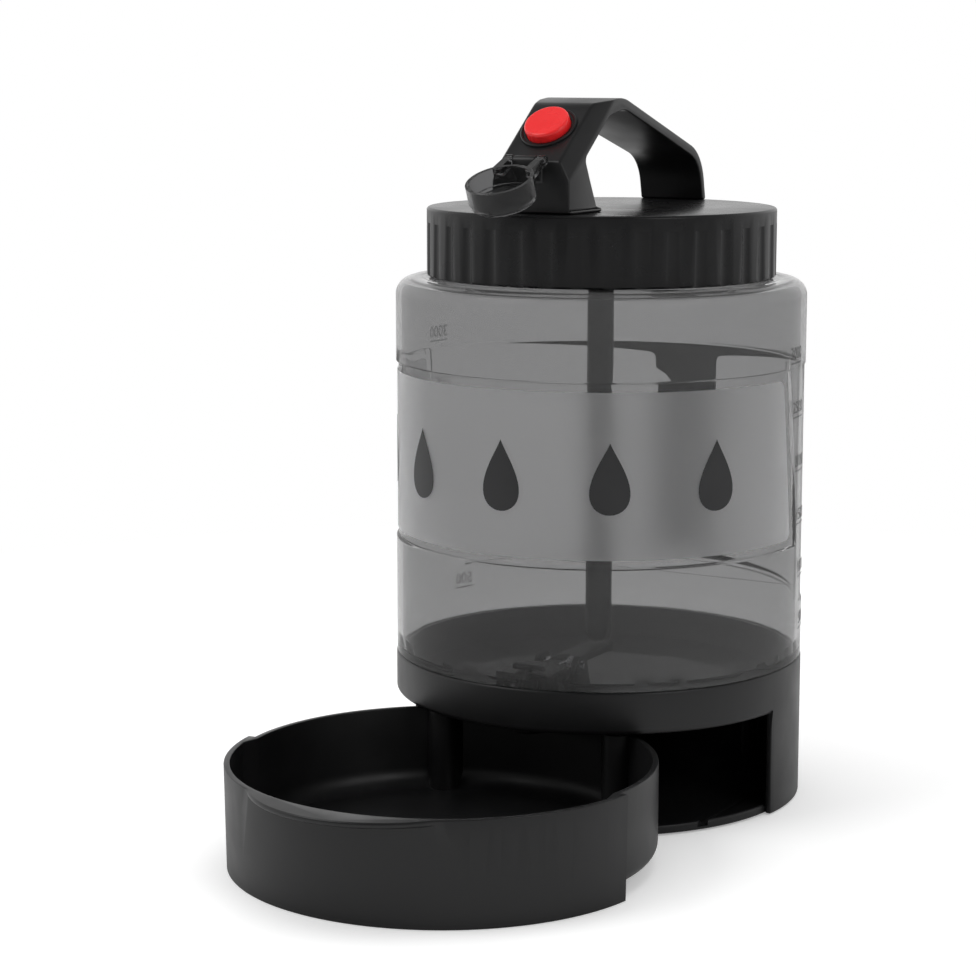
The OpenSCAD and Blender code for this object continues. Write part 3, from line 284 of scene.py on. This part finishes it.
RECESS_D = 0.9 * MM
END_WIDTH = 1.6 * MM
EDGE_WIDTH = 0.7 * MM
FILM_R = max(abs(film_lo.y), film_hi.x)
FILM_T = 0.4 * MM
MARGIN = 3.4 * MM
RECESS_LO, RECESS_HI = film_lo.z - MARGIN, film_hi.z + MARGIN
END_TOP, END_LOW = 90.5, 98.0
GRIP_MARGIN = 1.4 * MM
GRIP_T = 1.2 * MM
REAR_HALF = 107.0
REAR_LO, REAR_HI = grip_lo.z - GRIP_MARGIN, grip_hi.z + GRIP_MARGIN


def end_angle(z, top=END_TOP, low=END_LOW):
    """Half angle of the label recess at a height."""
    return low + (top - low) * (z - RECESS_LO) / (RECESS_HI - RECESS_LO)


def on_jar(angle, z, r):
    """Point at an angle in degrees from the front, towards +X."""
    q = math.radians(angle)
    return Vector((r * math.sin(q), -r * math.cos(q), z))


def step(x, width):
    """0 below, 1 above and a smooth rise of the given width round 0."""
    t = min(1.0, max(0.0, x / width + 0.5))
    return t * t * (3 - 2 * t)


def jar_mask(angle, z):
    """1 in the label recess at the front and in the grip recess at the rear, 0 elsewhere."""
    arc = JAR_R * math.pi / 180.0
    front = step((end_angle(z) - abs(angle)) * arc, END_WIDTH)
    front *= step(z - RECESS_LO, EDGE_WIDTH) * step(RECESS_HI - z, EDGE_WIDTH)
    rear = step((abs(angle) - REAR_HALF) * arc, END_WIDTH)
    rear *= step(z - REAR_LO, EDGE_WIDTH) * step(REAR_HI - z, EDGE_WIDTH)
    return max(front, rear)


def quarter(cx, cz, r, a, b, n=8):
    """Points of an arc from angle a to angle b in degrees, in radius and height."""
    return [(cx + r * math.cos(math.radians(a + (b - a) * i / n)),
             cz + r * math.sin(math.radians(a + (b - a) * i / n))) for i in range(n + 1)]


def body_levels():
    """Heights of the jar's rings: fine at the recess edges and even between them."""
    zs = {BAND_TOP + 3 * MM, SHOULDER_Z - SHOULDER_R}
    for edge in (RECESS_LO, RECESS_HI, REAR_LO, REAR_HI):
        zs.update(edge + k * 0.1 * MM for k in range(-5, 6))
    z = BAND_TOP + 8 * MM
    while z < SHOULDER_Z - SHOULDER_R:
        zs.add(z)
        z += 6 * MM
    return sorted(zs)


def jar_mesh():
    """The jar as rings of points from its floor up the outside and down the inside."""
    fine = [a * 0.35 for a in range(int(86 / 0.35), int(111 / 0.35))]
    angles = sorted(set([-180.0 + 3.0 * i for i in range(120)] + fine + [-a for a in fine]))
    r, w = JAR_R, WALL
    neck_top = jar_hi.z
    low = [(AXIS_R, jar_lo.z), (FOOT_R - FOOT_ROUND, jar_lo.z)]
    low += quarter(FOOT_R - FOOT_ROUND, jar_lo.z + FOOT_ROUND, FOOT_ROUND, -90, 0, 4)
    low += [(FOOT_R, BAND_TOP - 0.2 * MM), (r - EDGE_ROUND, BAND_TOP)]
    low += quarter(r - EDGE_ROUND, BAND_TOP + EDGE_ROUND, EDGE_ROUND, -90, 0, 4)
    high = quarter(r - SHOULDER_R, SHOULDER_Z - SHOULDER_R, SHOULDER_R, 6, 90, 12)
    high.append((BEAD_R + 1.4 * MM, SHOULDER_Z))
    high += quarter(BEAD_R, SHOULDER_Z - 1.1 * MM, BEAD_ROUND, 60, 120, 4)
    high += [(NECK_R + 1 * MM, SHOULDER_Z), (NECK_R, SHOULDER_Z + 1 * MM),
             (NECK_R, neck_top - EDGE_ROUND), (NECK_R - EDGE_ROUND, neck_top),
             (NECK_R - NECK_T + EDGE_ROUND, neck_top), (NECK_R - NECK_T, neck_top - EDGE_ROUND),
             (NECK_R - NECK_T, SHOULDER_Z - w + 1 * MM), (NECK_R - NECK_T + 1 * MM, SHOULDER_Z - w)]
    high += quarter(r - SHOULDER_R, SHOULDER_Z - SHOULDER_R, SHOULDER_R - w, 90, 6, 12)
    foot = [(r - w, BAND_TOP + 3 * MM), (FOOT_R - w, BAND_TOP), (FOOT_R - w, jar_lo.z + 6 * MM)]
    foot += quarter(FOOT_R - w - INNER_ROUND, jar_lo.z + FLOOR_T + INNER_ROUND, INNER_ROUND, 0, -90, 6)
    foot.append((AXIS_R, jar_lo.z + FLOOR_T))
    levels = body_levels()
    rings = [(q, z, 0) for q, z in low] + [(r, z, 1) for z in levels] + [(q, z, 0) for q, z in high]
    rings += [(r - w, z, 1) for z in reversed(levels)] + [(q, z, 0) for q, z in foot]
    verts, faces, n = [], [], len(angles)
    for q, z, masked in rings:
        for a in angles:
            verts.append(on_jar(a, z, q - (RECESS_D * jar_mask(a, z) if masked else 0.0)))
    for k in range(len(rings) - 1):
        for i in range(n):
            j = (i + 1) % n
            faces.append((k * n + i, k * n + j, (k + 1) * n + j, (k + 1) * n + i))
    return mesh_from("jar_glass", verts, faces, 60.0)


add_piece("jar_glass", jar_mesh(), smoky, "base", "bottle")


# The label film, its drops and the printed scale

def wrapped(name, outlines, z0, r, thick, close=True):
    """A thin sheet on the jar from rings of (angle, height) points, each ring as long as the next."""
    verts, faces, n = [], [], len(outlines[0])
    for side in (r, r + thick):
        for ring in outlines:
            verts += [on_jar(a, z0 + z, side) for a, z in ring]
    m = len(outlines) * n
    for k in range(len(outlines) - 1):
        for i in range(n if close else n - 1):
            j = (i + 1) % n
            q = (k * n + i, k * n + j, (k + 1) * n + j, (k + 1) * n + i)
            faces += [q, tuple(m + v for v in reversed(q))]
    last = (len(outlines) - 1) * n
    for i in range(n if close else n - 1):
        j = (i + 1) % n
        faces.append((last + i, last + j, m + last + j, m + last + i))
    if not close:
        faces.append((0, n - 1, m + n - 1, m))
        for k in range(len(outlines) - 1):
            for e in (0, n - 1):
                faces.append((k * n + e, (k + 1) * n + e, m + (k + 1) * n + e, m + k * n + e))
        for i in range(n - 1):
            faces.append((i, i + 1, m + i + 1, m + i))
    return mesh_from(name, verts, faces, 30.0)


def film_mesh():
    """The film's rows run from end to end, and its corners are round."""
    lo, hi, corner, steps = film_lo.z, film_hi.z, 3.5 * MM, 90
    zs = [lo + corner * (1 - math.cos(math.radians(q))) for q in range(0, 91, 15)]
    zs += [lo + corner + (hi - lo - 2 * corner) * i / 8 for i in range(1, 8)]
    zs += [hi - corner * (1 - math.cos(math.radians(q))) for q in range(90, -1, -15)]
    rows = []
    for z in zs:
        d = max(0.0, corner - (z - lo), corner - (hi - z))
        cut_in = corner - math.sqrt(max(0.0, corner ** 2 - d ** 2))
        half = end_angle(z, END_TOP - 3.0, END_LOW - 4.0) - math.degrees(cut_in / FILM_R)
        rows.append([(half * (2 * i / steps - 1), z) for i in range(steps + 1)])
    return wrapped("label_film", rows, 0.0, FILM_R - FILM_T, FILM_T, close=False)


def grip_mesh():
    """The grip strip with round inner corners and thin wings that run out along the recess's edges."""
    half, reach, r = 14 * MM, 62 * MM, 3.2 * MM

    def end_rows(thin):
        """Depth from the strip's end and half width, for a wing of the given thickness."""
        rows = [(thin * k / 6, half + r + reach * (1 - k / 6) ** 1.2) for k in range(7)]
        for q in range(15, 91, 15):
            rows.append((thin + r * (1 - math.cos(math.radians(q))), half + r * (1 - math.sin(math.radians(q)))))
        return rows

    zs = [(grip_lo.z + d, w) for d, w in end_rows(2.2 * MM)]
    zs += [(grip_hi.z - d, w) for d, w in reversed(end_rows(4.0 * MM))]
    rings = [[(180.0 + math.degrees(w * (i / 24 - 1) / FILM_R), z) for i in range(49)] for z, w in zs]
    return wrapped("grip_strip", rings, 0.0, FILM_R - FILM_T, GRIP_T, close=False)


def drop_rings(height, width, rings=9, points=40):
    """Rings of a water drop's outline about its middle, from the middle outwards."""
    outline = []
    for i in range(points):
        t = 2 * math.pi * i / points
        x = 0.5 * width * math.sin(t) * math.sin(t / 2) ** 1.4 * 1.13
        outline.append((x, 0.5 * height * math.cos(t)))
    low = -0.18 * height
    return [[(k / rings * x, low + k / rings * (z - low)) for x, z in outline] for k in range(rings + 1)]


DROP_Z = 137.5 * MM
DROP_H, DROP_W = 27 * MM, 19 * MM
PRINT_T = 0.12 * MM
for n, angle in enumerate((-60, -30, 0, 30, 60)):
    rings = [[(angle + math.degrees(x / FILM_R), z) for x, z in ring]
             for ring in drop_rings(DROP_H, DROP_W)]
    drop = wrapped("label_drop_%d" % n, rings, DROP_Z, FILM_R, PRINT_T)
    add_piece("label_drop_%d" % n, drop, print_ink, "base")
add_piece("label_film", film_mesh(), frosted, "base", "label_panel")
add_piece("grip_strip", grip_mesh(), grip_rubber, "base", "rear_grip")


def mark(name, text, angle, z, size):
    """Plain digits wrapped on the jar's side."""
    curve = bpy.data.curves.new(name, "FONT")
    curve.body = text
    curve.size = size
    curve.align_x = "CENTER"
    curve.align_y = "CENTER"
    curve.extrude = 0.04 * MM
    flat = bpy.data.objects.new(name + "_flat", curve)
    scene.collection.objects.link(flat)
    me = bpy.data.meshes.new_from_object(flat.evaluated_get(bpy.context.evaluated_depsgraph_get()))
    bpy.data.objects.remove(flat)
    for v in me.vertices:
        x, y, h = v.co
        v.co = on_jar(angle + math.degrees(x / JAR_R), z + y, JAR_R + 0.05 * MM + h)
    me.name = name
    return add_piece(name, me, mark_ink, "base")


def tick_mesh(name, sign, zs, length, width):
    """Short printed lines on the jar's side, one at each height."""
    verts, faces = [], []
    for z in zs:
        k = len(verts)
        angle = sign * (end_angle(z) + MARK_OFF)
        for r in (JAR_R, JAR_R + 0.08 * MM):
            for i in range(5):
                a = angle + math.degrees(length * (i / 4 - 0.5) / JAR_R)
                verts += [on_jar(a, z - width / 2, r), on_jar(a, z + width / 2, r)]
        for i in range(4):
            q = (k + 2 * i, k + 2 * i + 1, k + 2 * i + 3, k + 2 * i + 2)
            faces += [q, tuple(v + 10 for v in reversed(q))]
            faces += [(k + 2 * i, k + 2 * i + 2, k + 2 * i + 12, k + 2 * i + 10),
                      (k + 2 * i + 1, k + 2 * i + 11, k + 2 * i + 13, k + 2 * i + 3)]
        faces += [(k, k + 10, k + 11, k + 1), (k + 8, k + 9, k + 19, k + 18)]
    return mesh_from(name, verts, faces)


MARK_OFF = 5.5
MARK_ML = 500
MARK_STEP = 21.3 * MM
first_mark = jar_lo.z + 26.5 * MM
levels = [first_mark + k * MARK_STEP for k in range(6)]
for side, sign in (("right", 1), ("left", -1)):
    for k, z in enumerate(levels):
        text = str((k + 1) * MARK_ML)
        mark("scale_%s_%s" % (side, text), text, sign * (end_angle(z) + MARK_OFF), z + 3.6 * MM, 6.6 * MM)
    ticks = tick_mesh("scale_ticks_" + side, sign, levels, 12 * MM, 0.5 * MM)
    add_piece("scale_ticks_" + side, ticks, mark_ink, "base")

# Moulded pieces with rounded edges

dressed("base_housing", "base_band", black, "base", 0.5 * MM)
dressed("bowl", "drinking_bowl", black, "bowl", 0.45 * MM, low=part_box("bowl")[1].z - 2 * MM)
dressed("handle", "carry_handle", black_fine, "lid", 0.8 * MM, segments=4)
dressed("lid_cap", "screw_cap", black_gloss, "lid", 0.3 * MM, low=cap_hi.z - 2 * MM)

# The coil springs


def coil(node, name):
    """A copy of a spring, shown in the spring's place."""
    o = add_piece(name, nodes[node].data.copy(), steel, "lid", node)
    o.matrix_world = nodes[node].matrix_world.copy()
    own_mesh(o)


coil("button_spring", "button_coil")
coil("rod_spring", "rod_coil")

# Stage

floor_mesh = bpy.data.meshes.new("floor")
grid = bmesh.new()
bmesh.ops.create_grid(grid, x_segments=8, y_segments=8, size=30)
grid.to_mesh(floor_mesh)
grid.free()
floor = bpy.data.objects.new("floor", floor_mesh)
scene.collection.objects.link(floor)


def floor_material():
    """Lit floor near the object, plain white for the camera further out."""
    m, t, out = new_material("floor")
    d = t.nodes.new("ShaderNodeBsdfDiffuse")
    d.inputs["Color"].default_value = (0.86, 0.86, 0.86, 1)
    lit = t.nodes.new("ShaderNodeEmission")
    lit.inputs["Color"].default_value = (1, 1, 1, 1)
    lit.inputs["Strength"].default_value = 0.3
    near = t.nodes.new("ShaderNodeAddShader")
    t.links.new(d.outputs[0], near.inputs[0])
    t.links.new(lit.outputs[0], near.inputs[1])
    white = t.nodes.new("ShaderNodeEmission")
    white.inputs["Color"].default_value = (1, 1, 1, 1)
    white.inputs["Strength"].default_value = 1.0
    tc = t.nodes.new("ShaderNodeTexCoord")
    far = t.nodes.new("ShaderNodeVectorMath")
    far.operation = "LENGTH"
    t.links.new(tc.outputs["Object"], far.inputs[0])
    edge = ramp(t, far.outputs["Value"], 0.3, 0.6, 0.0, 1.0)
    shown = t.nodes.new("ShaderNodeMixShader")
    t.links.new(edge.outputs["Result"], shown.inputs["Fac"])
    t.links.new(near.outputs[0], shown.inputs[1])
    t.links.new(white.outputs[0], shown.inputs[2])
    lp = t.nodes.new("ShaderNodeLightPath")
    either = t.nodes.new("ShaderNodeMath")
    either.operation = "MAXIMUM"
    t.links.new(lp.outputs["Is Camera Ray"], either.inputs[0])
    t.links.new(lp.outputs["Is Transmission Ray"], either.inputs[1])
    mx = t.nodes.new("ShaderNodeMixShader")
    t.links.new(either.outputs[0], mx.inputs["Fac"])
    t.links.new(d.outputs[0], mx.inputs[1])
    t.links.new(shown.outputs[0], mx.inputs[2])
    t.links.new(mx.outputs[0], out.inputs["Surface"])
    return m


floor.data.materials.append(floor_material())


def studio_world():
    """White to the camera; as a light, bright behind and beside the object and dim in front of it."""
    world = bpy.data.worlds.new("studio")
    world.use_nodes = True
    t = world.node_tree
    t.nodes.clear()
    out = t.nodes.new("ShaderNodeOutputWorld")
    light = t.nodes.new("ShaderNodeBackground")
    light.inputs["Color"].default_value = (1, 1, 1, 1)
    tc = t.nodes.new("ShaderNodeTexCoord")
    dot = t.nodes.new("ShaderNodeVectorMath")
    dot.operation = "DOT_PRODUCT"
    dot.inputs[1].default_value = TOWARDS_CAMERA
    t.links.new(tc.outputs["Generated"], dot.inputs[0])
    glow = ramp(t, dot.outputs["Value"], -0.15, 0.55, 0.95, 0.22)
    axes = t.nodes.new("ShaderNodeSeparateXYZ")
    t.links.new(tc.outputs["Generated"], axes.inputs[0])
    high = ramp(t, axes.outputs["Z"], 0.3, 0.8, 1.0, 0.3)
    lp = t.nodes.new("ShaderNodeLightPath")
    shade = t.nodes.new("ShaderNodeMix")
    shade.inputs["A"].default_value = 1.0
    t.links.new(high.outputs["Result"], shade.inputs["B"])
    t.links.new(lp.outputs["Is Glossy Ray"], shade.inputs["Factor"])
    level = t.nodes.new("ShaderNodeMath")
    level.operation = "MULTIPLY"
    t.links.new(glow.outputs["Result"], level.inputs[0])
    t.links.new(shade.outputs["Result"], level.inputs[1])
    t.links.new(level.outputs[0], light.inputs["Strength"])
    seen = t.nodes.new("ShaderNodeBackground")
    seen.inputs["Color"].default_value = (1, 1, 1, 1)
    seen.inputs["Strength"].default_value = 1.0
    either = t.nodes.new("ShaderNodeMath")
    either.operation = "MAXIMUM"
    t.links.new(lp.outputs["Is Camera Ray"], either.inputs[0])
    t.links.new(lp.outputs["Is Transmission Ray"], either.inputs[1])
    mx = t.nodes.new("ShaderNodeMixShader")
    t.links.new(either.outputs[0], mx.inputs["Fac"])
    t.links.new(light.outputs[0], mx.inputs[1])
    t.links.new(seen.outputs[0], mx.inputs[2])
    t.links.new(mx.outputs[0], out.inputs["Surface"])
    return world


TOWARDS_CAMERA = (0.49, -0.86, 0.1)
scene.world = studio_world()


def area(name, location, target, size, power, glossy=True):
    """A square lamp that no clear piece shows."""
    light = bpy.data.lights.new(name, "AREA")
    light.shape = "RECTANGLE"
    light.size = size
    light.size_y = size
    light.energy = power
    o = bpy.data.objects.new(name, light)
    scene.collection.objects.link(o)
    o.location = location
    o.rotation_mode = "QUATERNION"
    o.rotation_quaternion = (Vector(target) - Vector(location)).to_track_quat("-Z", "Y")
    o.visible_transmission = False
    o.visible_glossy = glossy
    return o


area("key", (-0.9, -1.0, 1.5), (0, -0.05, 0.1), 0.9, 9)
area("fill", (1.5, -0.5, 1.0), (0, 0, 0.13), 0.8, 5)
area("top", (0.0, 0.1, 1.9), (0, 0, 0.1), 1.1, 8, glossy=False)

# Camera: W looks along the view, R to the right and U up

FOCAL_PX, PHOTO_PX, SENSOR = 2624.1, 976.0, 36.0
W = Vector((-0.48896, 0.85703, -0.16253)).normalized()
R = Vector((0.86854, 0.49562, 0.00056))
R = (R - W * R.dot(W)).normalized()
U = R.cross(W)
cam_data = bpy.data.cameras.new("camera")
cam_data.sensor_width = SENSOR
cam_data.lens = SENSOR * FOCAL_PX / PHOTO_PX
cam_data.clip_start = 0.05
cam_data.clip_end = 60
cam = bpy.data.objects.new("camera", cam_data)
scene.collection.objects.link(cam)
place = Matrix((R, U, -W)).transposed().to_4x4()
place.translation = Vector((0.47455, -0.92167, 0.29170))
cam.matrix_world = place
scene.camera = cam
scene.view_settings.view_transform = "Standard"
